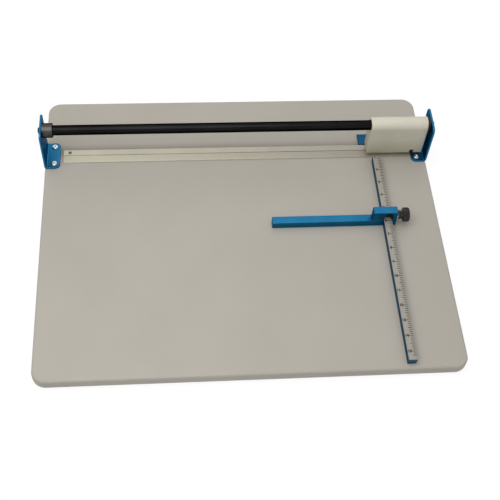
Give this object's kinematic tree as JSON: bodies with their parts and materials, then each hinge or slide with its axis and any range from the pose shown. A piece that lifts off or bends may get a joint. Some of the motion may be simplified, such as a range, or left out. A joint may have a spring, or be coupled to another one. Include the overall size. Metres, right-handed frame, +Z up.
{
  "type": "desktop paper creasing machine",
  "caption": "Desktop paper creaser: a board with a carriage that slides and turns on a round shaft over a grooved track, and a ruler with a clamped stop bar.",
  "frame": {"origin": "on the surface that the machine stands on, under the middle of the board and its bolts", "axes": "+X to the operator's right along the shaft, +Y to the rear, +Z up"},
  "size_m": [0.6266, 0.518, 0.1015],
  "materials": {
    "board_laminate": "pale warm grey, fine satin grain, slightly yellower along its rounded rim",
    "foot_rubber": "matt black rubber",
    "zinc_screws": "bright zinc plate",
    "blue_finish": "satin blue over metal",
    "black_shaft": "black, smooth, with a soft highlight along it",
    "black_fasteners": "black oxide",
    "dark_steel": "dark turned steel",
    "track_aluminium": "drawn aluminium with fine lines along its length",
    "printed_tape": "printed measuring tape with plain numbers and lines",
    "bronze": "sintered bronze",
    "white_plastic": "machined off-white plastic",
    "wheel_steel": "turned steel",
    "black_plastic": "moulded black plastic with soft gloss"
  },
  "bodies": {
    "base": {"base_board": "board_laminate", "foot_front_left": "foot_rubber", "foot_front_right": "foot_rubber", "foot_rear_left": "foot_rubber", "foot_rear_right": "foot_rubber", "foot_screws": "zinc_screws", "left_bracket": "blue_finish", "right_bracket": "blue_finish", "bracket_screws": "zinc_screws", "guide_shaft": "black_shaft", "left_shaft_bolt": "black_fasteners", "right_shaft_bolt": "black_fasteners", "left_collar": "dark_steel", "right_collar": "dark_steel", "collar_grub_screws": "black_fasteners", "crease_track": "track_aluminium", "track_screws": "zinc_screws", "park_strip": "blue_finish", "park_strip_screws": "zinc_screws", "ruler_bar": "blue_finish", "ruler_tape": "printed_tape", "ruler_screws": "zinc_screws"},
    "slide_bushes": {"left_slide_bush": "bronze", "right_slide_bush": "bronze"},
    "carriage": {"carriage_block": "white_plastic", "wheel_axle": "black_fasteners", "wheel_washers": "zinc_screws", "axle_nut": "zinc_screws"},
    "wheel": {"crease_wheel": "wheel_steel", "wheel_bush": "bronze"},
    "paper_stop": {"slider_block": "blue_finish", "stop_bar": "blue_finish", "stop_bar_screws": "zinc_screws", "knob_washer": "white_plastic"},
    "clamp_stud": {"thumb_stud": "black_fasteners"},
    "clamp_knob": {"thumb_knob": "black_plastic"}
  },
  "joints": [
    {"name": "carriage_slide", "type": "slide", "parent": "base", "child": "slide_bushes", "axis": [-1, 0, 0], "range_m": [0, 0.4991]},
    {"name": "carriage_tilt", "type": "hinge", "parent": "slide_bushes", "child": "carriage", "pos_m": [0.2562, 0.1415, 0.089], "axis": [1, 0, 0], "continuous": true},
    {"name": "wheel_spin", "type": "hinge", "parent": "carriage", "child": "wheel", "pos_m": [0.2842, 0.1415, 0.038], "axis": [0, 1, 0], "continuous": true},
    {"name": "stop_slide", "type": "slide", "parent": "base", "child": "paper_stop", "axis": [0, 1, 0], "range_m": [-0.24, 0.114]},
    {"name": "stud_advance", "type": "slide", "parent": "paper_stop", "child": "clamp_stud", "axis": [1, 0, 0], "range_m": [0, 0.0011]},
    {"name": "knob_turn", "type": "hinge", "parent": "clamp_stud", "child": "clamp_knob", "pos_m": [0.2533, -0.00215, 0.0422], "axis": [1, 0, 0], "range_deg": [0, 360]}
  ],
  "couplings": [
    {"joint": "stud_advance", "follows": "knob_turn", "m_per_rad": 0.00015915}
  ]
}
